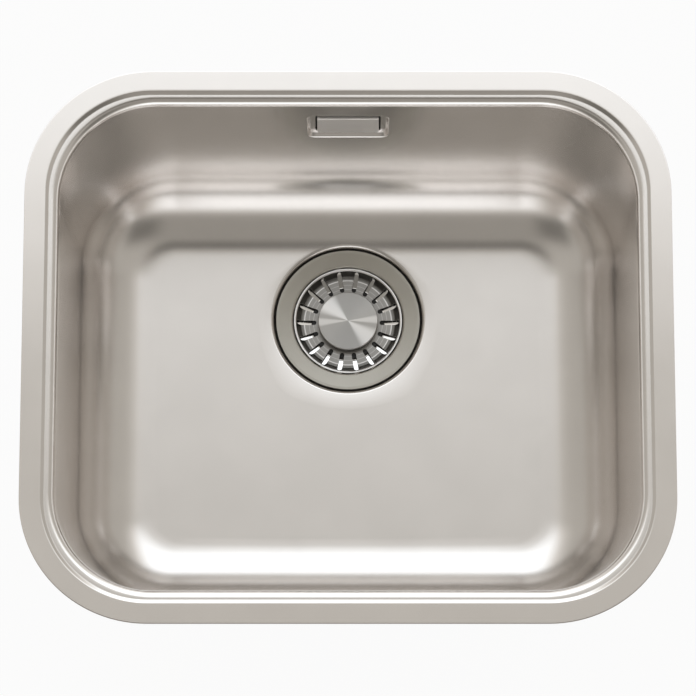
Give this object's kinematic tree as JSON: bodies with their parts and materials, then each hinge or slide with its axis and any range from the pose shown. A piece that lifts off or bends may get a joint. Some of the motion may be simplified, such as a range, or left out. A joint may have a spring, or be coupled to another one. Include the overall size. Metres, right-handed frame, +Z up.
{
  "type": "undermount kitchen sink",
  "caption": "Undermount stainless kitchen sink bowl with rolled rim, rear overflow, lift-out basket strainer and waste body below.",
  "frame": {"origin": "centre of the flange's flat top, which the worktop's underside rests on", "axes": "+X right along the longer side, +Y to the rear wall with the overflow, +Z up out of the bowl"},
  "size_m": [0.478, 0.418, 0.2575],
  "materials": {
    "bowl_steel": "satin brushed stainless sheet",
    "strainer_steel": "fine brushed stainless pressing",
    "knob_steel": "turned stainless face",
    "plate_steel": "bright pressed stainless plate",
    "fastener_steel": "plain stainless fastener",
    "brass": "turned brass",
    "black_rubber": "soft matt rubber",
    "grey_plastic": "moulded light grey plastic",
    "dark_plastic": "moulded black plastic",
    "pad_rubber": "matt sound-deadening pad"
  },
  "bodies": {
    "sink": {"sink_bowl": "bowl_steel", "floor_damping_pad": "pad_rubber", "overflow_plate": "plate_steel", "overflow_gasket": "black_rubber", "overflow_head": "grey_plastic", "overflow_washers": "black_rubber", "overflow_nuts": "fastener_steel", "overflow_hose": "grey_plastic", "hose_seals": "black_rubber", "hose_nuts": "dark_plastic", "strainer_cup": "strainer_steel", "strainer_flange_seal": "black_rubber", "guide_bush": "brass", "centre_screw": "fastener_steel", "waste_gasket": "black_rubber", "waste_body": "grey_plastic", "insert_nut": "brass"},
    "stopper": {"stem": "dark_plastic", "stem_ring": "black_rubber", "stopper_seal": "black_rubber"},
    "strainer": {"basket": "strainer_steel", "knob": "knob_steel", "pivot_screw": "fastener_steel"}
  },
  "joints": [
    {"name": "strainer_lift", "type": "slide", "parent": "sink", "child": "stopper", "axis": [0, 0, 1], "range_m": [0, 0.22]},
    {"name": "strainer_turn", "type": "hinge", "parent": "stopper", "child": "strainer", "pos_m": [0, 0.064, -0.185], "axis": [0, 0, 1], "continuous": true}
  ]
}
